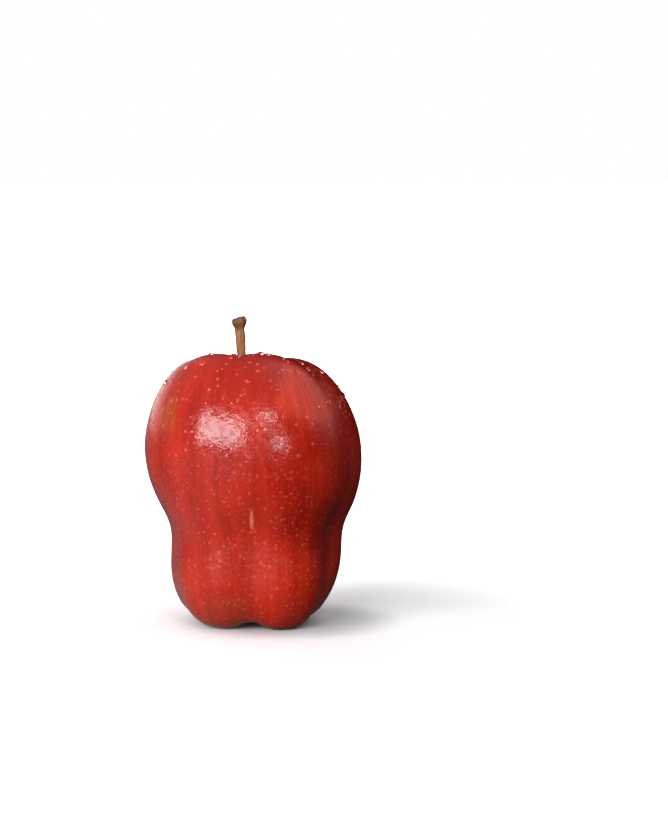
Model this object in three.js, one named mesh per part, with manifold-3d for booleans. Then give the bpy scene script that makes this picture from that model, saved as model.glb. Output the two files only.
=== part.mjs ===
// A whole red apple of the long, five-crowned kind, standing on the knobs at its blossom end.
// Millimetres, +Z up. The origin is on the surface it stands on, under the middle of the fruit; -Y is the front.
import * as THREE from 'three';
import { mergeVertices } from 'three/addons/utils/BufferGeometryUtils.js';
import Module from 'manifold-3d';

const wasm = await Module();
wasm.setup();

// ---- Driving sizes ----

const clearance = 0.3; // between pieces that grow out of each other

const fruit = {
  height: 90.6, // from the standing face to the rim of the stem cavity, at its highest
  rimRadius: 14.6, // where the shoulders turn over into the stem cavity
  bellyRadius: 36.2,
  bellyHeight: 57.5,
  waistRadius: 28.9,
  waistHeight: 27.5,
  hipRadius: 29.3, // the swelling above the knobs
  hipHeight: 18,
  footRadius: 17.4, // of the ring that the five knobs stand on
  cavityDepth: 14, // from the rim down to the stem
  basinDepth: 9.5, // from the standing face up to the calyx
};

// The five furrows: how deep each is below the crowns beside it, from the stem end to the calyx end.
const furrow = { rim: 1, belly: 1.3, waist: 2.8, hip: 3.8, foot: 3.6 };

// The crowns: which way each points, in degrees from +X, how well grown it is, how much further in
// than the others its foot stands, and how deep the furrow after it is.
const crowns = [
  { angle: 12, size: 1.04, tuck: 4.5, furrow: 1 },
  { angle: 86, size: 0.96, tuck: 0, furrow: 0.95 },
  { angle: 157, size: 1, tuck: 1, furrow: 0.6 },
  { angle: 231, size: 1.05, tuck: 0, furrow: 0.72 },
  { angle: 303, size: 1.06, tuck: 0, furrow: 1 },
];
const pinch = 1.5; // above 1, the crowns are broad and the furrows between them narrow
const footPress = 0.35; // how far each knob is pressed flat where it stands

const shoulderDrop = 5.6; // how much lower the shoulders are on their low side
const lowSide = 95; // which way that is, in degrees from +X
const cavityShift = -3.9; // how far to the left the stem cavity lies
const hipShift = 1.8; // how far to the right the hips lie

const stem = {
  length: 32,
  footRadius: 1.9,
  shaftRadius: 1.2,
  neckRadius: 1.6, // below the knob
  knobRadius: 2.4, // the scar at the tip, where the stem came off the branch
  knobLength: 3.4,
  lean: -0.6, // how far the tip leans to the left
  bow: 0.7, // how far the middle bows to the right
};
const socketDepth = 2.5; // how far the stem grows into the flesh

const eyeRadius = 3.7; // the mouth of the calyx tube, in the middle of the basin
const tubeRadius = 2.6; // the blind end of the calyx tube
const tubeDepth = 5;

const sepal = {
  count: 5,
  length: 8,
  width: 2.9,
  thickness: 0.55,
  rootInset: 0.9, // how far up inside the eye it is rooted
  closing: 0.55, // how far its middle leans in over the eye
  curl: 2.2, // how far its tip turns out
};

const stamens = {
  count: 7,
  ringRadius: 0.95,
  radius: 0.2,
  length: 7,
  splay: 0.25, // how far each leans out at its tip
  baseRadius: 1.5,
  baseThickness: 1,
  styleRadius: 0.32,
  styleLength: 5.6,
};

// How finely the shapes are cut into faces.
const perCrown = 12;
const perSpan = 8;
const stemSides = 16;
const sepalSides = 8;
const stamenSides = 6;

// ---- Materials ----

const skinRed = new THREE.MeshStandardMaterial({ color: 0xb01c18, roughness: 0.28, metalness: 0 });
const stemWood = new THREE.MeshStandardMaterial({ color: 0x7d6238, roughness: 0.75, metalness: 0 });
const drySepal = new THREE.MeshStandardMaterial({ color: 0x6b5232, roughness: 0.9, metalness: 0 });
const dryStamen = new THREE.MeshStandardMaterial({ color: 0x4a3420, roughness: 0.9, metalness: 0 });

// ---- Helpers ----

function smooth(t) {
  const s = THREE.MathUtils.clamp(t, 0, 1);
  return s * s * (3 - 2 * s);
}

// Moves each vertex of a geometry to where move(vertex, index) says.
function reshape(geometry, move) {
  const places = geometry.getAttribute('position');
  for (let i = 0; i < places.count; i++) {
    const moved = move(new THREE.Vector3().fromBufferAttribute(places, i), i);
    places.setXYZ(i, moved.x, moved.y, moved.z);
  }
  geometry.computeVertexNormals();
  return geometry;
}

// A profile of [radius, height] pairs turned round the Z axis.
function turned(profile, sides) {
  const points = profile.map(([r, z]) => new THREE.Vector2(r, z));
  return new THREE.LatheGeometry(points, sides).rotateX(Math.PI / 2);
}

function meshOf(name, geometry, material) {
  const mesh = new THREE.Mesh(geometry, material);
  mesh.name = name;
  return mesh;
}

function joined(geometries) {
  const solids = geometries.map((geometry) => {
    geometry.deleteAttribute('normal');
    geometry.deleteAttribute('uv');
    const merged = mergeVertices(geometry);
    const vertProperties = merged.getAttribute('position').array;
    const triVerts = new Uint32Array(merged.index.array);
    return new wasm.Manifold(new wasm.Mesh({ numProp: 3, vertProperties, triVerts }));
  });
  const made = solids.reduce((all, one) => all.add(one)).getMesh();
  const geometry = new THREE.BufferGeometry();
  geometry.setAttribute('position', new THREE.BufferAttribute(made.vertProperties, 3));
  geometry.setIndex(new THREE.BufferAttribute(made.triVerts, 1));
  geometry.computeVertexNormals();
  return geometry;
}

// ---- The fruit's outline over a crown, from the stem's socket to the calyx tube ----

const cavityFloor = fruit.height - fruit.cavityDepth - shoulderDrop / 2;
const socketRadius = stem.footRadius + clearance;

// heading is the way the outline runs through each point; fullness is how far the next curve keeps to
// its heading at either end, as a share of its chord. A fullness of 0.39 makes a quarter circle.
const stations = [
  { r: socketRadius, z: cavityFloor, heading: [0.5, 0.87], furrow: 0, fullness: [0.36, 0.36] },
  { r: fruit.rimRadius, z: fruit.height, heading: [1, 0], furrow: furrow.rim, fullness: [0.34, 0.34] },
  { r: fruit.bellyRadius, z: fruit.bellyHeight, heading: [0, -1], furrow: furrow.belly, fullness: [0.56, 0.3] },
  { r: fruit.waistRadius, z: fruit.waistHeight, heading: [0, -1], furrow: furrow.waist, fullness: [0.36, 0.36] },
  { r: fruit.hipRadius, z: fruit.hipHeight, heading: [0, -1], furrow: furrow.hip, fullness: [0.37, 0.37] },
  { r: fruit.footRadius, z: -footPress, heading: [-1, 0], furrow: furrow.foot, fullness: [0.36, 0.36] },
  { r: eyeRadius, z: fruit.basinDepth, heading: [-0.8, 0.6], furrow: 0 },
];

function outline() {
  const samples = [];
  for (let span = 0; span + 1 < stations.length; span++) {
    const from = stations[span];
    const to = stations[span + 1];
    const start = new THREE.Vector2(from.r, from.z);
    const end = new THREE.Vector2(to.r, to.z);
    const [leaving, arriving] = from.fullness.map((share) => share * start.distanceTo(end));
    const leave = new THREE.Vector2(...from.heading).multiplyScalar(leaving).add(start);
    const arrive = new THREE.Vector2(...to.heading).multiplyScalar(-arriving).add(end);
    const curve = new THREE.CubicBezierCurve(start, leave, arrive, end);
    for (let step = span ? 1 : 0; step <= perSpan; step++) {
      const t = step / perSpan;
      const place = curve.getPoint(t);
      const along = curve.getTangent(t);
      const depth = THREE.MathUtils.lerp(from.furrow, to.furrow, smooth(t));
      samples.push({ r: place.x, z: place.y, inwards: [along.y, -along.x], furrow: depth });
    }
  }
  return samples;
}

// ---- The fruit's shape round its outline ----

function wrap(degrees) {
  return THREE.MathUtils.euclideanModulo(degrees + 180, 360) - 180;
}

// Which crown and which furrow an angle belongs to, and how far it is from the bottom of that furrow
// at 0 to the middle of that crown at 1.
function crownAt(angle) {
  for (const [i, crown] of crowns.entries()) {
    const away = wrap(angle - crown.angle);
    const before = crowns[(i + crowns.length - 1) % crowns.length];
    const after = crowns[(i + 1) % crowns.length];
    const reach = (2 * away) / wrap((away > 0 ? after : before).angle - crown.angle);
    const middle = 1 - (0.5 - 0.5 * Math.cos(Math.PI * reach)) ** pinch;
    if (reach <= 1) return { crown, furrowShare: (away > 0 ? crown : before).furrow, middle };
  }
}

function fruitPoint(sample, angle) {
  const { crown, furrowShare, middle } = crownAt(angle);
  const depth = sample.furrow * (furrowShare * (1 - middle) + (1 - crown.size) * middle);
  const low = 1 - smooth(sample.z / fruit.waistHeight);
  const wide = smooth((sample.r - eyeRadius) / (fruit.footRadius - eyeRadius));
  const r = sample.r + sample.inwards[0] * depth - crown.tuck * middle * low * wide;
  const upright = sample.z + sample.inwards[1] * depth;
  const high = smooth((upright - fruit.waistHeight) / (fruit.height - fruit.waistHeight));
  const central = 1 - smooth(r / fruit.bellyRadius);
  const outwards = THREE.MathUtils.clamp((r - socketRadius) / (fruit.rimRadius - socketRadius), 0, 1);
  const facing = Math.cos(THREE.MathUtils.degToRad(angle - lowSide)) * outwards;
  const side = cavityShift * high * central + hipShift * (1 - high);
  const turn = THREE.MathUtils.degToRad(angle);
  const drop = shoulderDrop * high * (0.5 + 0.5 * facing);
  return new THREE.Vector3(r * Math.cos(turn) + side, r * Math.sin(turn), Math.max(0, upright - drop));
}

function onAxis(z) {
  return fruitPoint({ r: 0, z, inwards: [0, 0], furrow: 0 }, 0);
}

function ring(r, z) {
  return { r, z, inwards: [0, 0], furrow: 0 };
}

function fruitGeometry() {
  const socketFloor = cavityFloor - socketDepth;
  const tubeEnd = fruit.basinDepth + tubeDepth;
  const samples = [
    ring(0, socketFloor),
    ring(socketRadius, socketFloor),
    ...outline(),
    ring(tubeRadius, tubeEnd),
    ring(0, tubeEnd),
  ];
  const lathe = turned(samples.map(({ r, z }) => [r, z]).reverse(), perCrown * crowns.length);
  return reshape(lathe, (place, i) => {
    const sample = samples[samples.length - 1 - (i % samples.length)];
    const column = Math.floor(i / samples.length);
    return fruitPoint(sample, (360 * column) / (perCrown * crowns.length));
  });
}

// ---- The stem ----

function stemGeometry() {
  const foot = onAxis(cavityFloor - socketDepth);
  const mouth = onAxis(cavityFloor);
  const knobStart = stem.length - stem.knobLength;
  const profile = [
    [0, 0],
    [stem.footRadius, 0],
    [stem.footRadius * 0.96, socketDepth],
    [stem.shaftRadius * 1.1, socketDepth * 2.4],
    [stem.shaftRadius, stem.length * 0.35],
    [stem.shaftRadius * 1.04, stem.length * 0.55],
    [stem.neckRadius * 0.92, stem.length * 0.75],
    [stem.neckRadius, knobStart],
    [stem.knobRadius * 0.9, knobStart + stem.knobLength * 0.35],
    [stem.knobRadius, knobStart + stem.knobLength * 0.7],
    [stem.knobRadius * 0.85, stem.length],
    [0, stem.length],
  ];
  return reshape(turned(profile, stemSides), (place) => {
    const t = Math.max(0, place.z - 1.5 * socketDepth) / (stem.length - 1.5 * socketDepth);
    const sideways = stem.lean * t + stem.bow * Math.sin(Math.PI * t);
    const x = THREE.MathUtils.lerp(foot.x, mouth.x, Math.min(1, place.z / socketDepth)) + sideways;
    return place.add(new THREE.Vector3(x, foot.y, foot.z + clearance));
  });
}

// ---- The calyx: dry sepals round a tuft of withered stamens ----

// A narrow leaf that hangs from its root, leans in over the eye and turns its tip out.
function sepalGeometry() {
  const half = sepal.width / 2;
  const profile = [
    [0, -sepal.length],
    [half * 0.15, -sepal.length * 0.98],
    [half * 0.45, -sepal.length * 0.86],
    [half * 0.75, -sepal.length * 0.62],
    [half * 0.98, -sepal.length * 0.36],
    [half, -sepal.length * 0.2],
    [half * 0.82, 0],
    [0, 0],
  ];
  return reshape(turned(profile, sepalSides), (place) => {
    const t = -place.z / sepal.length;
    const bent = sepal.curl * Math.max(0, t - 0.45) ** 2 * 3.3 - sepal.closing * Math.sin(Math.PI * Math.min(1, 1.2 * t));
    return new THREE.Vector3((place.x * sepal.thickness) / sepal.width + bent, place.y, place.z);
  });
}

function stamenTuftGeometry() {
  const bodies = [new THREE.CylinderGeometry(stamens.baseRadius, stamens.baseRadius, stamens.baseThickness, 20)];
  const rooted = stamens.baseThickness / 4; // how far a filament starts inside the base, to join it
  const filament = (radius, length, angle, out) => {
    const one = new THREE.CylinderGeometry(radius, radius * 0.8, length, stamenSides);
    one.translate(0, -length / 2 - rooted, 0);
    const tilt = stamens.splay / stamens.length;
    reshape(one, (place) => place.add(new THREE.Vector3(out - tilt * place.y * (out ? 1 : 0), 0, 0)));
    return one.rotateY(angle);
  };
  bodies.push(filament(stamens.styleRadius, stamens.styleLength, 0, 0));
  for (let i = 0; i < stamens.count; i++) {
    const angle = (2 * Math.PI * i) / stamens.count;
    const length = stamens.length * (1 - 0.12 * (i % 3));
    bodies.push(filament(stamens.radius, length, angle, stamens.ringRadius));
  }
  return joined(bodies).rotateX(Math.PI / 2);
}

// ---- Assembly ----

const apple = new THREE.Group();
apple.add(meshOf('fruit', fruitGeometry(), skinRed));
apple.add(meshOf('stem', stemGeometry(), stemWood));

const calyx = new THREE.Group();
calyx.position.copy(onAxis(fruit.basinDepth));
for (let i = 0; i < sepal.count; i++) {
  const mesh = meshOf(`sepal_${i + 1}`, sepalGeometry(), drySepal);
  const turn = (2 * Math.PI * (i + 0.5)) / sepal.count;
  const rootRadius = eyeRadius - clearance - sepal.thickness / 2 - (sepal.rootInset * (eyeRadius - tubeRadius)) / tubeDepth;
  mesh.position.set(rootRadius * Math.cos(turn), rootRadius * Math.sin(turn), sepal.rootInset);
  mesh.rotation.z = turn;
  calyx.add(mesh);
}
const tuft = meshOf('stamen_tuft', stamenTuftGeometry(), dryStamen);
tuft.position.z = tubeDepth - clearance - stamens.baseThickness / 2;
calyx.add(tuft);
apple.add(calyx);

const box = new THREE.Box3().setFromObject(apple);
const middle = box.getCenter(new THREE.Vector3());
apple.position.set(-middle.x, -middle.y, -box.min.z);

export default apple;
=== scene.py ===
# A red apple of the long, five-crowned kind, wet with water drops, standing on its knobs.
# Metres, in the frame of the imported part: +Z is up and -Y is the front.
import math
import random

import bmesh
import bpy
from mathutils import Euler, Matrix, Vector, noise
from mathutils.bvhtree import BVHTree
from mathutils.geometry import interpolate_bezier


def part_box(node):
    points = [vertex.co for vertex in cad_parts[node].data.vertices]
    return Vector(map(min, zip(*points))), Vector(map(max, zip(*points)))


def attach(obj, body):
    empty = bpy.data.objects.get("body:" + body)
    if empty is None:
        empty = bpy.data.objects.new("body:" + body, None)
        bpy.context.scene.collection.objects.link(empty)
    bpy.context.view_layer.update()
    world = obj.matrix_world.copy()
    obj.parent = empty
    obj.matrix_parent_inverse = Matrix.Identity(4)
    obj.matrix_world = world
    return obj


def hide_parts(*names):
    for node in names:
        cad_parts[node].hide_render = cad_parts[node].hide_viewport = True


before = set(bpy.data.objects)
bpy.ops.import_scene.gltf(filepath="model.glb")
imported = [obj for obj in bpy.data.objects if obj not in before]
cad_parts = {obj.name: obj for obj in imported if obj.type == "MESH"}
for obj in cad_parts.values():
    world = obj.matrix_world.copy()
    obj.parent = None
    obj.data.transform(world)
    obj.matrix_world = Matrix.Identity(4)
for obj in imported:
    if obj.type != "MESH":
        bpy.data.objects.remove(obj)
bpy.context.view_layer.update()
mm = 0.001


def smooth(value):
    t = min(max(value, 0.0), 1.0)
    return t * t * (3 - 2 * t)


def polar(radius, angle, height=0.0):
    return Vector((radius * math.cos(angle), radius * math.sin(angle), height))


def finishPiece(name, bm, material, node=None):
    bmesh.ops.recalc_face_normals(bm, faces=bm.faces)
    mesh = bpy.data.meshes.new(name)
    bm.to_mesh(mesh)
    bm.free()
    for polygon in mesh.polygons:
        polygon.use_smooth = True
    piece = bpy.data.objects.new(name, mesh)
    bpy.context.scene.collection.objects.link(piece)
    piece.data.materials.append(material)
    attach(piece, "root")
    if node:
        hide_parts(node)
    return piece


def subdivide(piece, levels):
    modifier = piece.modifiers.new("smooth", "SUBSURF")
    modifier.levels = levels
    modifier.render_levels = levels


def fitToBox(bm, node):
    # lays a shape's box on a CAD node's box
    low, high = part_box(node)
    cos = [v.co for v in bm.verts]
    madeLow = Vector([min(c[i] for c in cos) for i in range(3)])
    madeHigh = Vector([max(c[i] for c in cos) for i in range(3)])
    size, made = high - low, madeHigh - madeLow
    stretch = Matrix.Diagonal([size[i] / made[i] for i in range(3)]).to_4x4()
    move = Matrix.Translation(low) @ stretch @ Matrix.Translation(-madeLow)
    bmesh.ops.transform(bm, matrix=move, verts=bm.verts)


def spinLine(bm, line, steps):
    # turns a line of vertices round the upright axis into a closed skin
    edges = [bm.edges.new(pair) for pair in zip(line, line[1:])]
    bmesh.ops.spin(
        bm, geom=line + edges, cent=(0, 0, 0), axis=(0, 0, 1), dvec=(0, 0, 0),
        angle=math.tau, steps=steps, use_merge=True,
    )


def addNode(tree, kind, sockets=None, **settings):
    made = tree.nodes.new("ShaderNode" + kind)
    for name, value in settings.items():
        setattr(made, name, value)
    for name, value in (sockets or {}).items():
        if isinstance(value, bpy.types.NodeSocket):
            tree.links.new(value, made.inputs[name])
        else:
            made.inputs[name].default_value = value
    return made


def calc(tree, operation, *values):
    return addNode(tree, "Math", dict(enumerate(values)), operation=operation).outputs[0]


def times(tree, value, factor):
    return calc(tree, "MULTIPLY", value, factor)


def vectorCalc(tree, operation, *values):
    made = addNode(tree, "VectorMath", dict(enumerate(values)), operation=operation)
    return made.outputs["Value" if operation in ("LENGTH", "DOT_PRODUCT") else "Vector"]


def mixColour(tree, factor, base, over):
    return addNode(tree, "Mix", {0: factor, 6: base, 7: over}, data_type="RGBA").outputs[2]


def mixValue(tree, factor, base, over):
    return addNode(tree, "Mix", {0: factor, 2: base, 3: over}, data_type="FLOAT").outputs[0]


def remap(tree, value, low, high, toLow=0.0, toHigh=1.0):
    sockets = {"Value": value, "From Min": low, "From Max": high, "To Min": toLow, "To Max": toHigh}
    return addNode(tree, "MapRange", sockets, interpolation_type="SMOOTHSTEP").outputs[0]


def addNoise(tree, vector, scale, detail, **sockets):
    sockets |= {"Vector": vector, "Scale": scale, "Detail": detail}
    return addNode(tree, "TexNoise", sockets).outputs[0]


def newGroup(name, inputs, output):
    tree = bpy.data.node_groups.new(name, "ShaderNodeTree")
    for label, value in inputs.items():
        kind = "NodeSocketVector" if value is None else "NodeSocketFloat"
        socket = tree.interface.new_socket(label, in_out="INPUT", socket_type=kind)
        if value is not None:
            socket.default_value = value
    kind = "NodeSocketVector" if output == "Normal" else "NodeSocketFloat"
    tree.interface.new_socket(output, in_out="OUTPUT", socket_type=kind)
    return tree, tree.nodes.new("NodeGroupInput").outputs, tree.nodes.new("NodeGroupOutput").inputs[0]


def useGroup(tree, group, sockets):
    return addNode(tree, "Group", sockets, node_tree=group).outputs[0]


def newMaterial(name):
    material = bpy.data.materials.new(name)
    material.use_nodes = True
    tree = material.node_tree
    tree.nodes.clear()
    surface = tree.nodes.new("ShaderNodeBsdfPrincipled")
    output = tree.nodes.new("ShaderNodeOutputMaterial")
    tree.links.new(surface.outputs[0], output.inputs["Surface"])
    return material, tree, surface


def feed(tree, surface, **sockets):
    for name, value in sockets.items():
        tree.links.new(value, surface.inputs[name.replace("_", " ")])


def makeStreaks():
    # long soft stripes along the third axis of the vector that comes in
    inputs = {"Vector": None, "Across": 20.0, "Along": 2.0, "Contrast": 0.5}
    tree, given, out = newGroup("streaks", inputs, "Mask")
    scale = addNode(tree, "CombineXYZ", {0: given["Across"], 1: given["Across"], 2: given["Along"]})
    place = vectorCalc(tree, "MULTIPLY", given["Vector"], scale.outputs[0])
    stripes = addNoise(tree, place, 1.0, 3.0, Roughness=0.55)
    halfSpan = calc(tree, "SUBTRACT", 0.5, times(tree, given["Contrast"], 0.45))
    tree.links.new(remap(tree, stripes, halfSpan, calc(tree, "SUBTRACT", 1.0, halfSpan)), out)
    return tree


def makeSpeckle():
    # scattered round dots, each of its own size
    inputs = {"Vector": None, "Scale": 300.0, "Size": 0.16, "Softness": 0.06}
    tree, given, out = newGroup("speckle", inputs, "Mask")
    cells = addNode(tree, "TexVoronoi", {"Vector": given["Vector"], "Scale": given["Scale"]})
    share = addNode(tree, "SeparateColor", {0: cells.outputs["Color"]}).outputs[0]
    reach = times(tree, given["Size"], calc(tree, "ADD", 0.45, share))
    inner = calc(tree, "SUBTRACT", reach, given["Softness"])
    outer = calc(tree, "ADD", reach, given["Softness"])
    tree.links.new(remap(tree, cells.outputs["Distance"], inner, outer, 1.0, 0.0), out)
    return tree


def makePatch():
    # a soft-edged mark round one place, with a ragged outline
    inputs = {"Vector": None, "Centre": None, "Reach": None, "Ragged": 0.3}
    tree, given, out = newGroup("patch", inputs, "Mask")
    away = vectorCalc(tree, "SUBTRACT", given["Vector"], given["Centre"])
    shaped = vectorCalc(tree, "DIVIDE", away, given["Reach"])
    fray = calc(tree, "SUBTRACT", addNoise(tree, shaped, 2.5, 4.0), 0.5)
    frayed = calc(tree, "ADD", vectorCalc(tree, "LENGTH", shaped), times(tree, fray, given["Ragged"]))
    tree.links.new(remap(tree, frayed, 0.55, 1.0, 1.0, 0.0), out)
    return tree


def makeRelief():
    # fine unevenness of a grown surface: a coarse swell and a fine grain, as a normal
    inputs = {"Vector": None, "Coarse": 400.0, "Fine": 1500.0, "Share": 0.3, "Depth": 0.0001, "Extra": 0.0}
    tree, given, out = newGroup("relief", inputs, "Normal")
    swell = addNoise(tree, given["Vector"], given["Coarse"], 1.0)
    grain = addNoise(tree, given["Vector"], given["Fine"], 1.0)
    height = calc(tree, "ADD", mixValue(tree, given["Share"], swell, grain), given["Extra"])
    bump = addNode(tree, "Bump", {"Strength": 1.0, "Distance": given["Depth"], "Height": height})
    tree.links.new(bump.outputs[0], out)
    return tree


streaks = makeStreaks()
speckle = makeSpeckle()
patch = makePatch()
relief = makeRelief()
print("shared effects made")


fruitShape = {  # millimetres, over a crown
    "height": 90.6, "rimRadius": 14.6, "cavityDepth": 14.0, "stemRadius": 1.7, "socketRadius": 2.2,
    "bellyRadius": 36.2, "bellyHeight": 57.5, "waistRadius": 28.9, "waistHeight": 27.5,
    "hipRadius": 29.3, "hipHeight": 18.0, "footRadius": 17.4, "basinDepth": 9.5,
    "eyeRadius": 3.7, "tubeRadius": 2.6, "tubeDepth": 5.0,
    "shoulderDrop": 5.6, "lowSide": 95.0, "cavityShift": -3.9, "hipShift": 1.8, "pinch": 1.5,
    "columns": 150, "rows": 11, "calmRows": 12,  # rows without lumps beside the stem and the calyx
}
crowns = [  # direction in degrees, growth, tuck of its foot in millimetres, and the furrow after it
    {"angle": 12, "size": 1.04, "tuck": 4.5, "furrow": 1.0},
    {"angle": 86, "size": 0.96, "tuck": 0.0, "furrow": 0.95},
    {"angle": 157, "size": 1.0, "tuck": 1.0, "furrow": 0.6},
    {"angle": 231, "size": 1.05, "tuck": 0.0, "furrow": 0.72},
    {"angle": 303, "size": 1.06, "tuck": 0.0, "furrow": 1.0},
]
swells = [  # the slight lumps of a grown surface: how wide and how high, in millimetres
    {"width": 22.0, "height": 0.5},
    {"width": 8.0, "height": 0.14},
    {"width": 3.2, "height": 0.035},
]


def fruitStations():
    # place, heading, fullness leaving and arriving, furrow depth
    s = fruitShape
    cavityFloor = s["height"] - s["cavityDepth"] - s["shoulderDrop"] / 2
    return [
        ((s["stemRadius"], cavityFloor - 1.0), (0.1, 1.0), (0.3, 0.3), 0.0),
        ((s["stemRadius"] + 0.7, cavityFloor + 0.6), (0.5, 0.87), (0.36, 0.36), 0.0),
        ((s["rimRadius"], s["height"]), (1, 0), (0.34, 0.34), 1.0),
        ((s["bellyRadius"], s["bellyHeight"]), (0, -1), (0.56, 0.3), 1.3),
        ((s["waistRadius"], s["waistHeight"]), (0, -1), (0.36, 0.36), 2.8),
        ((s["hipRadius"], s["hipHeight"]), (0, -1), (0.37, 0.37), 3.8),
        ((s["footRadius"], 0.0), (-1, 0), (0.36, 0.36), 3.6),
        ((s["eyeRadius"], s["basinDepth"]), (-0.8, 0.6), (0.3, 0.3), 0.0),
        ((s["tubeRadius"], s["basinDepth"] + s["tubeDepth"]), (-0.2, 0.98), (0.3, 0.3), 0.0),
    ]


def fruitOutline():
    # samples of the outline: place, furrow depth and distance along it
    samples = []
    stations = fruitStations()
    for this, after in zip(stations, stations[1:]):
        start, end = Vector(this[0]), Vector(after[0])
        chord = (end - start).length
        leave = start + Vector(this[1]).normalized() * chord * this[2][0]
        arrive = end - Vector(after[1]).normalized() * chord * this[2][1]
        points = interpolate_bezier(start, leave, arrive, end, fruitShape["rows"])
        for i, point in enumerate(points):
            if i == 0 and samples:
                continue
            share = smooth(i / (len(points) - 1))
            samples.append({"place": point, "furrow": this[3] + (after[3] - this[3]) * share})
    samples[0]["along"] = 0.0
    for before, sample in zip(samples, samples[1:]):
        sample["along"] = before["along"] + (sample["place"] - before["place"]).length
    for i, sample in enumerate(samples):
        ahead = samples[min(i + 1, len(samples) - 1)]["place"] - samples[max(i - 1, 0)]["place"]
        sample["inwards"] = Vector((ahead.y, -ahead.x)).normalized()
    return samples


def crownAt(degrees):
    # the crown nearest a direction, the furrow beside it, and how near the crown's middle it is
    for i, crown in enumerate(crowns):
        away = (degrees - crown["angle"] + 180) % 360 - 180
        before, after = crowns[i - 1], crowns[(i + 1) % len(crowns)]
        neighbour = after if away > 0 else before
        reach = 2 * away / ((neighbour["angle"] - crown["angle"] + 180) % 360 - 180)
        if reach <= 1:
            middle = 1 - (0.5 - 0.5 * math.cos(math.pi * reach)) ** fruitShape["pinch"]
            return crown, (crown if away > 0 else before)["furrow"], middle


def fruitPoint(sample, angle):
    s = fruitShape
    crown, furrowShare, middle = crownAt(math.degrees(angle) % 360)
    depth = sample["furrow"] * (furrowShare * (1 - middle) + (1 - crown["size"]) * middle)
    place = sample["place"]
    low = 1 - smooth(place.y / s["waistHeight"])
    wide = smooth((place.x - s["eyeRadius"]) / (s["footRadius"] - s["eyeRadius"]))
    radius = place.x + sample["inwards"].x * depth - crown["tuck"] * middle * low * wide
    upright = place.y + sample["inwards"].y * depth
    high = smooth((upright - s["waistHeight"]) / (s["height"] - s["waistHeight"]))
    central = 1 - smooth(radius / s["bellyRadius"])
    outwards = min(max((radius - s["socketRadius"]) / (s["rimRadius"] - s["socketRadius"]), 0.0), 1.0)
    facing = math.cos(angle - math.radians(s["lowSide"])) * outwards
    side = s["cavityShift"] * high * central + s["hipShift"] * (1 - high)
    drop = s["shoulderDrop"] * high * (0.5 + 0.5 * facing)
    return polar(radius, angle) + Vector((side, 0, upright - drop))


def lumps(place):
    total = 0.0
    for i, swell in enumerate(swells):
        total += swell["height"] * noise.noise(place / swell["width"] + Vector((7.3 * i, 1.7, 4.1)))
    return total


def makeFruit(material):
    samples = fruitOutline()
    last = len(samples) - 1
    bm = bmesh.new()
    number = bm.verts.layers.int.new("number")
    line = []
    for i, sample in enumerate(samples):
        vert = bm.verts.new((sample["place"].x, 0, sample["place"].y))
        vert[number] = i
        line.append(vert)
    spinLine(bm, line, fruitShape["columns"])
    meridian = bm.verts.layers.float_vector.new("meridian")  # direction round the core, distance along
    for vert in bm.verts:
        angle = math.atan2(vert.co.y, vert.co.x) % math.tau
        sample = samples[vert[number]]
        vert.co = fruitPoint(sample, angle)
        vert[meridian] = (math.cos(angle), math.sin(angle), sample["along"] / 100)
    bmesh.ops.recalc_face_normals(bm, faces=bm.faces)
    bm.normal_update()
    for vert in bm.verts:
        if fruitShape["calmRows"] < vert[number] < last - fruitShape["calmRows"]:
            vert.co += vert.normal * lumps(vert.co)
    for vert in bm.verts:
        vert.co.z = max(vert.co.z, 0.0)  # the knobs are pressed flat where they stand
    fitToBox(bm, "fruit")
    for end in (0, last):
        rim = [e for e in bm.edges if e.is_boundary and all(v[number] == end for v in e.verts)]
        bmesh.ops.contextual_create(bm, geom=rim)
    piece = finishPiece("apple_fruit", bm, material, node="fruit")
    subdivide(piece, 1)
    return piece


skinLook = {
    "deep": (0.25, 0.0035, 0.0016, 1), "bright": (0.46, 0.021, 0.006, 1), "warm": (0.34, 0.105, 0.016, 1),
    # the first colour on the next line is painted light: a lit red laid on the top of the right shoulder
    "paintedLightRed": (0.62, 0.05, 0.022, 1), "ground": (0.52, 0.30, 0.06, 1), "lenticel": (0.72, 0.12, 0.072, 1),
    "russet": (0.24, 0.12, 0.04, 1), "scar": (0.72, 0.2, 0.095, 1),
    "broadShare": 0.3, "fineShare": 0.28, "cloudShare": 0.42,  # what sets how bright the red is
    "smoothest": 0.15, "roughest": 0.31,
    "relief": {"Coarse": 420.0, "Fine": 1100.0, "Share": 0.45, "Depth": 0.00017},
    "broadStreaks": {"Across": 5.0, "Along": 1.4, "Contrast": 0.3},
    "fineStreaks": {"Across": 55.0, "Along": 6.0, "Contrast": 0.45},
    "upperDots": {"Scale": 390.0, "Size": 0.15, "Softness": 0.12},
    "lowerDots": {"Scale": 600.0, "Size": 0.18, "Softness": 0.19},
}
skinMarks = {  # single marks, in metres
    # painted shade: the upper front between the two front crowns is darkened
    "paintedShadeFront": {"Centre": (0.001, -0.026, 0.084), "Reach": (0.016, 0.022, 0.012), "Ragged": 0.9},
    # painted light: the top of the right shoulder is lightened, as if more lit
    "paintedLightCrest": {"Centre": (0.0185, -0.022, 0.079), "Reach": (0.013, 0.017, 0.015), "Ragged": 1.2},
    "warmSide": {"Centre": (-0.027, -0.0216, 0.071), "Reach": (0.005, 0.007, 0.009), "Ragged": 1.2},
    "scar": {"Centre": (0.0003, -0.03, 0.038), "Reach": (0.0008, 0.004, 0.0052), "Ragged": 1.3},
    "bruise": {"Centre": (-0.0085, -0.025, 0.0055), "Reach": (0.012, 0.02, 0.009), "Ragged": 1.4},
}


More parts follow.
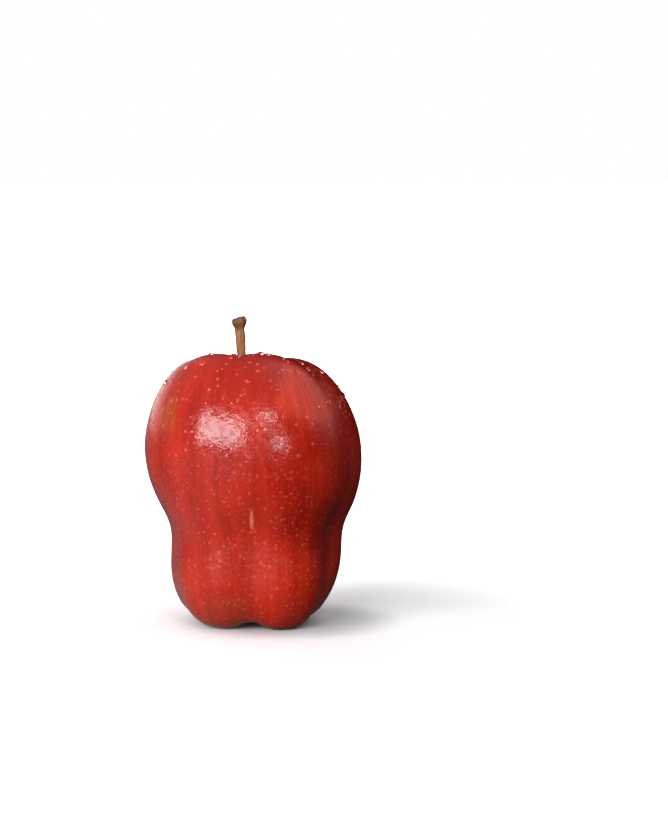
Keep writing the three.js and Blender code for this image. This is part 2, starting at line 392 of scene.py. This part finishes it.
def makeSkin():
    look = skinLook
    material, tree, surface = newMaterial("apple_skin")
    place = addNode(tree, "TexCoord").outputs["Object"]
    meridian = addNode(tree, "Attribute", attribute_name="meridian").outputs["Vector"]
    along = addNode(tree, "SeparateXYZ", {0: meridian}).outputs[2]
    broad = useGroup(tree, streaks, {"Vector": meridian} | look["broadStreaks"])
    fine = useGroup(tree, streaks, {"Vector": meridian} | look["fineStreaks"])
    cloud = remap(tree, addNoise(tree, place, 45.0, 2.0), 0.3, 0.7)

    def laid(colour, mark, strength, over):
        mask = useGroup(tree, patch, {"Vector": place} | skinMarks[mark])
        return mixColour(tree, times(tree, mask, strength), colour, look[over])

    tone = calc(tree, "ADD", times(tree, broad, look["broadShare"]), times(tree, fine, look["fineShare"]))
    tone = calc(tree, "ADD", tone, times(tree, cloud, look["cloudShare"]))
    colour = mixColour(tree, tone, look["deep"], look["bright"])
    # painted shade darkens the upper front between the two front crowns
    colour = laid(colour, "paintedShadeFront", 0.4, "deep")
    # painted light on the top of the right shoulder, streaked like the skin
    colour = laid(colour, "paintedLightCrest", remap(tree, fine, 0, 1, 0.25, 0.6), "paintedLightRed")
    colour = laid(colour, "warmSide", remap(tree, fine, 0, 1, 0.12, 0.4), "warm")
    colour = laid(colour, "scar", 0.6, "scar")
    colour = laid(colour, "bruise", 0.09, "russet")

    upper = useGroup(tree, speckle, {"Vector": place} | look["upperDots"])
    lower = useGroup(tree, speckle, {"Vector": place} | look["lowerDots"])
    down = remap(tree, along, 0.55, 0.85)
    dots = mixValue(tree, down, upper, lower)
    paleness = times(tree, dots, remap(tree, down, 0, 1, 0.7, 0.46))
    colour = mixColour(tree, paleness, colour, look["lenticel"])

    cavity = remap(tree, along, 0.05, 0.2, 1.0, 0.0)
    basin = remap(tree, along, 1.42, 1.6)
    shaded = calc(tree, "MAXIMUM", cavity, basin)
    blotches = remap(tree, addNoise(tree, place, 160.0, 4.0), 0.4, 0.65)
    bare = times(tree, shaded, remap(tree, blotches, 0, 1, 0.55, 1.0))
    colour = mixColour(tree, bare, colour, look["ground"])
    net = times(tree, shaded, blotches)
    colour = mixColour(tree, times(tree, net, 0.7), colour, look["russet"])

    raised = times(tree, dots, 0.2)
    unevenness = useGroup(tree, relief, {"Vector": place, "Extra": raised} | look["relief"])
    rough = remap(tree, addNoise(tree, place, 520.0, 4.0), 0.4, 0.65, look["smoothest"], look["roughest"])
    feed(tree, surface, Base_Color=colour, Roughness=rough, Normal=unevenness)
    surface.inputs["IOR"].default_value = 1.45
    return material


fruit = makeFruit(makeSkin())
print("fruit made")

stemShape = {  # millimetres
    "length": 32.0, "foot": 1.9, "shaft": 1.2, "neck": 1.6, "knob": 2.4, "knobLength": 3.4,
    "lean": -0.6, "bow": 0.7, "rows": 64, "columns": 40, "ridge": 0.1, "ridges": 7,
    "roughness": 0.14, "knobLumps": 0.3, "scarRound": 0.3, "scarSlope": 0.3,
    "scar": ((0.86, 0.28), (0.62, 0.12), (0.45, -0.18), (0.2, -0.3)),  # share of the radius, height
}
stemLook = {
    "bark": (0.18, 0.057, 0.018, 1), "pale": (0.37, 0.15, 0.046, 1), "dark": (0.04, 0.016, 0.006, 1),
    "fibres": {"Across": 1500.0, "Along": 90.0, "Contrast": 0.6},
    "bands": {"Across": 420.0, "Along": 40.0, "Contrast": 0.5},
    "specks": {"Scale": 900.0, "Size": 0.25, "Softness": 0.1},
    "relief": {"Coarse": 1100.0, "Fine": 3500.0, "Share": 0.4, "Depth": 0.00018},
    "rough": 0.6,
}


def stemRadius(share):
    s = stemShape
    knobShare = s["knobLength"] / s["length"]
    foot = (s["foot"] - s["shaft"]) * (1 - smooth(share / 0.2))
    neck = (s["neck"] - s["shaft"]) * smooth((share - 0.4) / 0.45)
    knob = (s["knob"] - s["neck"]) * smooth((share - 1 + knobShare * 1.15) / (knobShare * 0.8))
    return s["shaft"] + foot + neck + knob - s["scarRound"] * smooth((share - 0.97) / 0.03)


def makeStem(material):
    s = stemShape
    bm = bmesh.new()
    shares = [i / s["rows"] for i in range(s["rows"] + 1)]
    line = [bm.verts.new((stemRadius(share), 0, s["length"] * share)) for share in shares]
    for radius, height in s["scar"]:
        line.append(bm.verts.new((stemRadius(1.0) * radius, 0, s["length"] + height)))
    spinLine(bm, line, s["columns"])
    for vert in bm.verts:
        share = vert.co.z / s["length"]
        angle = math.atan2(vert.co.y, vert.co.x)
        ridged = s["ridge"] * math.sin(s["ridges"] * angle + 2.5 * share + 1.3 * math.sin(6 * share))
        around = Vector((2.2 * math.cos(angle), 2.2 * math.sin(angle), vert.co.z * 0.45))
        rough = s["roughness"] * noise.noise(around)
        lump = s["knobLumps"] * noise.noise(vert.co / 1.4) * smooth((share - 0.84) / 0.1)
        radius = math.hypot(vert.co.x, vert.co.y) * (1 + (ridged + rough + lump) / s["shaft"] * 0.7)
        sideways = s["lean"] * share + s["bow"] * math.sin(math.pi * share)
        slope = s["scarSlope"] * vert.co.x * smooth((share - 0.9) / 0.1)
        vert.co = polar(radius, angle, vert.co.z + slope) + Vector((sideways, 0, 0))
    for upper in (False, True):
        rim = [e for e in bm.edges if e.is_boundary and (e.verts[0].co.z > s["length"] / 2) == upper]
        bmesh.ops.contextual_create(bm, geom=rim)
    fitToBox(bm, "stem")
    piece = finishPiece("apple_stem", bm, material, node="stem")
    subdivide(piece, 1)
    return piece


def makeBark():
    look = stemLook
    material, tree, surface = newMaterial("stem_bark")
    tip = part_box("stem")[1].z
    place = addNode(tree, "TexCoord").outputs["Object"]
    upright = addNode(tree, "SeparateXYZ", {0: place}).outputs[2]
    fibres = useGroup(tree, streaks, {"Vector": place} | look["fibres"])
    bands = useGroup(tree, streaks, {"Vector": place} | look["bands"])
    specks = useGroup(tree, speckle, {"Vector": place} | look["specks"])
    knob = remap(tree, upright, tip - 6 * mm, tip - 2.5 * mm)
    colour = mixColour(tree, bands, look["bark"], look["pale"])
    colour = mixColour(tree, times(tree, fibres, 0.35), colour, look["dark"])
    speckled = times(tree, specks, remap(tree, knob, 0, 1, 0.15, 0.8))
    colour = mixColour(tree, speckled, colour, look["dark"])
    colour = mixColour(tree, times(tree, knob, 0.45), colour, look["dark"])
    unevenness = useGroup(tree, relief, {"Vector": place, "Extra": fibres} | look["relief"])
    feed(tree, surface, Base_Color=colour, Normal=unevenness)
    surface.inputs["Roughness"].default_value = look["rough"]
    return material


stem = makeStem(makeBark())
print("stem made")

sepalShape = {  # millimetres, with the least and most of what differs from one to the next
    "count": 5, "rows": 14, "columns": 6, "thickness": 0.35, "width": 3.0, "rootRadius": 2.95,
    "twist": (-0.5, 0.5), "curl": (1.8, 3.0), "lean": (-0.35, 0.35),
    "cup": 0.5, "hollow": 0.5, "ripple": 0.25,
}
calyxLook = {
    "dry": (0.17, 0.10, 0.045, 1), "pale": (0.36, 0.27, 0.15, 1),
    "stamen": (0.07, 0.035, 0.015, 1), "stamenPale": (0.2, 0.12, 0.06, 1),
    "sepalFibres": {"Across": 900.0, "Along": 250.0, "Contrast": 0.6},
    "stamenFibres": {"Across": 1500.0, "Along": 300.0, "Contrast": 0.6},
    "specks": {"Scale": 1100.0, "Size": 0.3, "Softness": 0.12},
    "relief": {"Coarse": 900.0, "Fine": 3000.0, "Share": 0.4, "Depth": 0.0002},
    "rough": 0.85,
}


def makeDryLeaf(name, base, pale, along):
    look = calyxLook
    material, tree, surface = newMaterial(name)
    place = addNode(tree, "TexCoord").outputs["Object"]
    fibres = useGroup(tree, streaks, {"Vector": place} | look[along])
    specks = useGroup(tree, speckle, {"Vector": place} | look["specks"])
    colour = mixColour(tree, fibres, look[base], look[pale])
    colour = mixColour(tree, times(tree, specks, 0.5), colour, look["stamen"])
    unevenness = useGroup(tree, relief, {"Vector": place, "Extra": fibres} | look["relief"])
    feed(tree, surface, Base_Color=colour, Normal=unevenness)
    surface.inputs["Roughness"].default_value = look["rough"]
    return material


def boxMiddle(node):
    low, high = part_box(node)
    return (low + high) / 2


def makeSepal(number, material, rng):
    node = f"sepal_{number}"
    s = sepalShape
    low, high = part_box(node)
    eye = sum((boxMiddle(f"sepal_{i + 1}") for i in range(s["count"])), Vector()) / s["count"]
    middle = boxMiddle(node)
    angle = math.atan2(middle.y - eye.y, middle.x - eye.x)
    bm = bmesh.new()
    bmesh.ops.create_grid(bm, x_segments=s["columns"], y_segments=s["rows"], size=0.5)
    twist = rng.uniform(*s["twist"])
    curl = rng.uniform(*s["curl"])
    lean = rng.uniform(*s["lean"])
    for vert in bm.verts:
        across, down = vert.co.x * 2, vert.co.y + 0.5
        taper = (0.85 + 0.5 * down - 1.35 * down ** 2.2) * (1 + 0.1 * math.sin(9 * down + twist))
        halfWidth = max(s["width"] / 2 * taper, 0.02)
        cup = s["cup"] * across ** 2 * (1 - 0.4 * down)
        hollow = s["hollow"] * math.sin(math.pi * min(1.0, 1.2 * down))
        out = curl * max(0.0, down - 0.35) ** 2 * 3.2 - hollow - cup
        out += s["ripple"] * noise.noise(Vector((across * 1.7, down * 3.1, number * 5.0)))
        sideways = across * halfWidth + lean * down ** 2 + twist * 0.3 * across * down
        vert.co = Vector((out * mm, sideways * mm, (low.z - high.z) * down))
    turn = Euler((0, 0, angle)).to_matrix().to_4x4()
    outward = Matrix.Translation((s["rootRadius"] * mm, 0, 0))
    move = Matrix.Translation((eye.x, eye.y, high.z)) @ turn @ outward
    bmesh.ops.transform(bm, matrix=move, verts=bm.verts)
    bmesh.ops.recalc_face_normals(bm, faces=bm.faces)
    bmesh.ops.solidify(bm, geom=bm.faces[:], thickness=s["thickness"] * mm)
    piece = finishPiece(f"dry_{node}", bm, material, node=node)
    subdivide(piece, 1)


def addRod(bm, start, end, bow, radius, endRadius, sides=7, steps=6):
    # a thin tapering rod between two places, bowed sideways
    along = end - start
    turn = along.to_track_quat("Z", "Y").to_matrix().to_4x4()
    ring = bmesh.ops.create_circle(bm, cap_ends=False, radius=1.0, segments=sides)["verts"]
    edges = list({e for v in ring for e in v.link_edges})
    rings = [ring]
    for _ in range(steps):
        made = bmesh.ops.extrude_edge_only(bm, edges=edges)["geom"]
        rings.append([g for g in made if isinstance(g, bmesh.types.BMVert)])
        edges = [g for g in made if isinstance(g, bmesh.types.BMEdge)]
    for i, verts in enumerate(rings):
        share = i / steps
        size = radius + (endRadius - radius) * share
        middle = Matrix.Translation(start + along * share + bow * math.sin(math.pi * share))
        for vert in verts:
            vert.co = middle @ turn @ Vector((vert.co.x * size, vert.co.y * size, 0))
    for i in (0, steps):
        bmesh.ops.contextual_create(bm, geom=rings[i])


tuftShape = {  # millimetres, with the least and most of what differs from one thread to the next
    "threads": 15, "threadRing": 0.95, "threadLength": (4.8, 7.2), "spread": (-0.7, 0.9), "bow": (-0.3, 0.3),
    "threadRadius": 0.15, "threadEnd": 0.09, "anther": 0.28,
    "styles": 5, "styleRing": 0.25, "styleLength": 5.4, "styleSpread": 0.35, "styleBow": 0.12,
    "styleRadius": 0.2, "styleEnd": 0.13, "pad": 0.7,
}


def makeStamens(material, rng):
    s = tuftShape
    low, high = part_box("stamen_tuft")
    middle = (low + high) / 2
    foot = Vector((middle.x, middle.y, high.z))
    reach = (high.x - low.x) / 2
    bm = bmesh.new()
    pad = bmesh.ops.create_uvsphere(bm, u_segments=18, v_segments=8, radius=1.0)["verts"]
    flat = Matrix.Diagonal((reach, reach, s["pad"] * mm, 1))
    move = Matrix.Translation(foot - Vector((0, 0, s["pad"] * mm)))
    bmesh.ops.transform(bm, verts=pad, matrix=move @ flat)
    for i in range(s["threads"]):
        angle = math.tau * i / s["threads"] + rng.uniform(-0.15, 0.15)
        length = rng.uniform(*s["threadLength"]) * mm
        start = foot + polar(s["threadRing"] * mm, angle, -0.9 * mm)
        end = start + polar(rng.uniform(*s["spread"]) * mm, angle + rng.uniform(-0.6, 0.6), -length)
        end.z = max(end.z, low.z)
        bow = polar(rng.uniform(*s["bow"]) * mm, angle + 1.2)
        addRod(bm, start, end, bow, s["threadRadius"] * mm, s["threadEnd"] * mm)
        anther = bmesh.ops.create_icosphere(bm, subdivisions=2, radius=s["anther"] * mm)["verts"]
        turn = Euler((rng.uniform(-0.6, 0.6), rng.uniform(-0.6, 0.6), angle)).to_matrix().to_4x4()
        move = Matrix.Translation(end) @ turn @ Matrix.Diagonal((0.7, 1.0, 1.5, 1))
        bmesh.ops.transform(bm, verts=anther, matrix=move)
    for i in range(s["styles"]):
        angle = math.tau * (i + 0.5) / s["styles"]
        start = foot + polar(s["styleRing"] * mm, angle, -1.0 * mm)
        end = start + polar(s["styleSpread"] * mm, angle, -s["styleLength"] * mm)
        addRod(bm, start, end, polar(s["styleBow"] * mm, angle), s["styleRadius"] * mm, s["styleEnd"] * mm)
    for vert in bm.verts:
        vert.co.z = max(vert.co.z, low.z)
    finishPiece("dry_stamens", bm, material, node="stamen_tuft")


rng = random.Random(11)
sepalMaterial = makeDryLeaf("sepal_leaf", "dry", "pale", "sepalFibres")
stamenMaterial = makeDryLeaf("stamen_thread", "stamen", "stamenPale", "stamenFibres")
for number in range(sepalShape["count"]):
    makeSepal(number + 1, sepalMaterial, rng)
makeStamens(stamenMaterial, rng)
print("calyx made")

dropSizes = {  # millimetres, and how much of a half ball each drop rises
    "smallest": 0.35, "largest": 1.1, "count": 80, "height": 0.6,
    "steepness": (36, 12), "centreHeight": 0.62,  # degrees and their spread, share of the fruit's height
}
placedDrops = [  # chosen: direction and steepness from the belly in degrees, radius in millimetres
    (213, 49, 1.1), (229, 52, 1.5), (250, 59, 1.1), (257, 62, 0.7), (281, 65, 1.2), (289, 64, 0.8),
    (303, 60, 0.7), (332, 59, 0.8), (328, 53, 1.0), (349, 50, 1.1), (324, 31, 1.5), (348, 32, 1.1),
    (338, 28, 0.8), (250, 10, 0.8), (258, 5, 0.7), (265, -37, 0.7),
]
stemDrop = (280, 55, 1.0)  # the same, from the middle of the stem's knob


def makeWater():
    material, tree, surface = newMaterial("clear_water")
    surface.inputs["Base Color"].default_value = (0.9, 0.9, 0.9, 1)
    surface.inputs["Roughness"].default_value = 0.0
    surface.inputs["IOR"].default_value = 1.333
    surface.inputs["Transmission Weight"].default_value = 1.0
    return material


def addDrop(bm, tree, centre, azimuth, steepness, radius):
    # lays a drop where a line from the centre leaves the surface
    out = polar(math.cos(math.radians(steepness)), math.radians(azimuth), math.sin(math.radians(steepness)))
    place, normal, _, _ = tree.ray_cast(centre + out * 0.1, -out)
    if place is None:
        return
    verts = bmesh.ops.create_icosphere(bm, subdivisions=3 if radius > 0.6 else 2, radius=radius * mm)["verts"]
    turn = normal.to_track_quat("Z", "Y").to_matrix().to_4x4()
    flat = Matrix.Diagonal((1, 1, dropSizes["height"], 1))
    bmesh.ops.transform(bm, verts=verts, matrix=Matrix.Translation(place) @ turn @ flat)


def makeDrops(material, rng):
    sizes = dropSizes
    graph = bpy.context.evaluated_depsgraph_get()
    tree = BVHTree.FromObject(fruit, graph)
    low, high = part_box("fruit")
    centre = (low + high) / 2
    centre.z = low.z + sizes["centreHeight"] * (high.z - low.z)
    bm = bmesh.new()
    for azimuth, steepness, radius in placedDrops:
        addDrop(bm, tree, centre, azimuth, steepness, radius)
    for _ in range(sizes["count"]):
        size = sizes["smallest"] + (sizes["largest"] - sizes["smallest"]) * rng.random() ** 3
        addDrop(bm, tree, centre, rng.uniform(0, 360), rng.gauss(*sizes["steepness"]), size)
    stemTree = BVHTree.FromObject(stem, graph)
    low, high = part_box("stem")
    knob = Vector((low.x + stemShape["knob"] * mm, (low.y + high.y) / 2, high.z - 2 * mm))
    addDrop(bm, stemTree, knob, *stemDrop)
    piece = finishPiece("water_drops", bm, material)
    piece.visible_shadow = False


makeDrops(makeWater(), random.Random(5))
print("drops made")


studio = {
    "floor": (1.1, 1.1, 1.11, 1), "floorSize": 3.0, "floorFront": -0.5,
    "whiteMiddle": (0.04, -0.02, 0), "whiteFrom": 0.05, "whiteAt": 0.2,  # the floor turns white outwards
    # painted shadow: the floor that is seen is darkened beside the fruit's base
    "shadeMiddle": (0.012, 0, 0), "shadeFrom": 0.02, "shadeTo": 0.042, "paintedShadowLevel": 0.6,
    "leftEdge": -0.07, "rightEdge": 0.05,  # the light off the floor fades between these
    "floorGlow": 0.2, "floorBounce": 0.32, "floorDark": 0.02,
    "bounceBack": (0.0, 0.15, 1.0, 0.4), "glowBack": (-0.02, 0.04, 1.0, 0.0),  # how both fade backwards
}
surround = {  # direction, the cosines where each glow starts and is full, and its strength
    "fill": ((-0.8, -0.4, 0.3), -0.5, 0.4, 0.4),
    "wall": ((-0.25, 0.97, 0), 0.84, 0.97, 1.3),
    "wallTop": ((0, 0, -1), -0.3, 0, 1),  # what keeps the wall low, and on the left
    "wallSide": ((-1, 0, 0), -0.05, 0.2, 1),
    "window": ((0.7, 0.15, 0.7), 0.66, 0.97, 0.75),
}
softboxes = {  # degrees from the front towards +X, degrees up, distance, width, height, watts
    "key_left": (-31, 18.5, 1.2, 0.98, 0.46, 18.0),
    "behind": (-162, 14, 1.5, 1.0, 0.6, 9.0),
    "window_high": (14, 30, 1.2, 0.3, 0.12, 1.8),
    "window_low": (24, 10, 1.2, 0.34, 0.16, 1.5),
}
view = {"lens": 130.3, "sensor": 36, "place": (26.7, -987.4, 172.0), "pitch": 84}  # millimetres, degrees


def makeFloor():
    # what is seen turns white away from the fruit and carries a painted shadow beside the base; what the
    # fruit meets is brighter on its left
    material, tree, surface = newMaterial("pale_floor")
    seen = addNode(tree, "LightPath").outputs["Is Camera Ray"]
    place = addNode(tree, "TexCoord").outputs["Object"]
    across, deep, _ = addNode(tree, "SeparateXYZ", {0: place}).outputs
    rightwards = remap(tree, across, studio["leftEdge"], studio["rightEdge"])
    level = mixValue(tree, rightwards, studio["floorBounce"], studio["floorDark"])
    level = times(tree, level, remap(tree, deep, *studio["bounceBack"]))
    bounce = addNode(tree, "CombineColor", {0: level, 1: level, 2: level}).outputs[0]
    # painted contact shadow on the floor, darkest beside the base
    away = vectorCalc(tree, "LENGTH", vectorCalc(tree, "SUBTRACT", place, studio["shadeMiddle"]))
    shade = remap(tree, away, studio["shadeFrom"], studio["shadeTo"], studio["paintedShadowLevel"], 1.0)
    shown = mixColour(tree, shade, (0, 0, 0, 1), studio["floor"])
    feed(tree, surface, Base_Color=mixColour(tree, seen, bounce, shown))
    away = vectorCalc(tree, "LENGTH", vectorCalc(tree, "SUBTRACT", place, studio["whiteMiddle"]))
    white = remap(tree, away, studio["whiteFrom"], studio["whiteAt"])
    under = mixValue(tree, rightwards, studio["floorGlow"], 0.0)
    under = times(tree, under, remap(tree, deep, *studio["glowBack"]))
    feed(tree, surface, Emission_Strength=mixValue(tree, seen, under, white))
    surface.inputs["Emission Color"].default_value = (1, 1, 1, 1)
    surface.inputs["Roughness"].default_value = 0.6
    surface.inputs["Specular IOR Level"].default_value = 0.1
    bm = bmesh.new()
    bmesh.ops.create_grid(bm, x_segments=1, y_segments=1, size=studio["floorSize"])
    bmesh.ops.translate(bm, verts=bm.verts, vec=(0, studio["floorSize"] + studio["floorFront"], 0))
    mesh = bpy.data.meshes.new("floor")
    bm.to_mesh(mesh)
    bm.free()
    floor = bpy.data.objects.new("floor", mesh)
    bpy.context.scene.collection.objects.link(floor)
    mesh.materials.append(material)


def addSoftbox(name, azimuth, elevation, distance, width, height, power):
    a, e = math.radians(azimuth), math.radians(elevation)
    aim = Vector((0, 0, 0.06))
    out = Vector((math.sin(a) * math.cos(e), -math.cos(a) * math.cos(e), math.sin(e)))
    light = bpy.data.lights.new(name, "AREA")
    light.shape = "RECTANGLE"
    light.size, light.size_y = width, height
    light.energy = power
    lamp = bpy.data.objects.new(name, light)
    lamp.location = aim + out * distance
    lamp.visible_camera = False
    lamp.visible_glossy = name != "behind"  # it would whiten the edges
    lamp.rotation_euler = out.to_track_quat("Z", "Y").to_euler()
    bpy.context.scene.collection.objects.link(lamp)


def makeWorld():
    # a fill that fades to the right, a bright wall behind on the left, a dim window high on the right
    world = bpy.data.worlds.new("studio")
    bpy.context.scene.world = world
    world.use_nodes = True
    tree = world.node_tree
    tree.nodes.clear()
    way = addNode(tree, "TexCoord").outputs["Generated"]

    def towards(direction, start, full, level):
        facing = vectorCalc(tree, "DOT_PRODUCT", way, Vector(direction).normalized())
        return remap(tree, facing, start, full, 0.0, level)

    wall = times(tree, towards(*surround["wall"]), towards(*surround["wallTop"]))
    wall = times(tree, wall, towards(*surround["wallSide"]))
    level = calc(tree, "ADD", towards(*surround["fill"]), wall)
    level = calc(tree, "ADD", level, towards(*surround["window"]))
    light = addNode(tree, "Background", {"Color": (1, 1, 1, 1), "Strength": level})
    plain = addNode(tree, "Background", {"Color": (1, 1, 1, 1), "Strength": 1.0})
    seen = addNode(tree, "LightPath").outputs["Is Camera Ray"]
    both = addNode(tree, "MixShader", {0: seen, 1: light.outputs[0], 2: plain.outputs[0]})
    output = addNode(tree, "OutputWorld")
    tree.links.new(both.outputs[0], output.inputs["Surface"])


def makeCamera():
    camera = bpy.data.objects.new("camera", bpy.data.cameras.new("camera"))
    camera.data.lens = view["lens"]
    camera.data.sensor_width = view["sensor"]
    camera.location = Vector(view["place"]) * mm
    camera.rotation_euler = (math.radians(view["pitch"]), 0, 0)
    bpy.context.scene.collection.objects.link(camera)
    bpy.context.scene.camera = camera


makeFloor()
makeWorld()
for name, values in softboxes.items():
    addSoftbox(name, *values)
makeCamera()
bpy.context.scene.view_settings.view_transform = "Standard"
print("stage made")
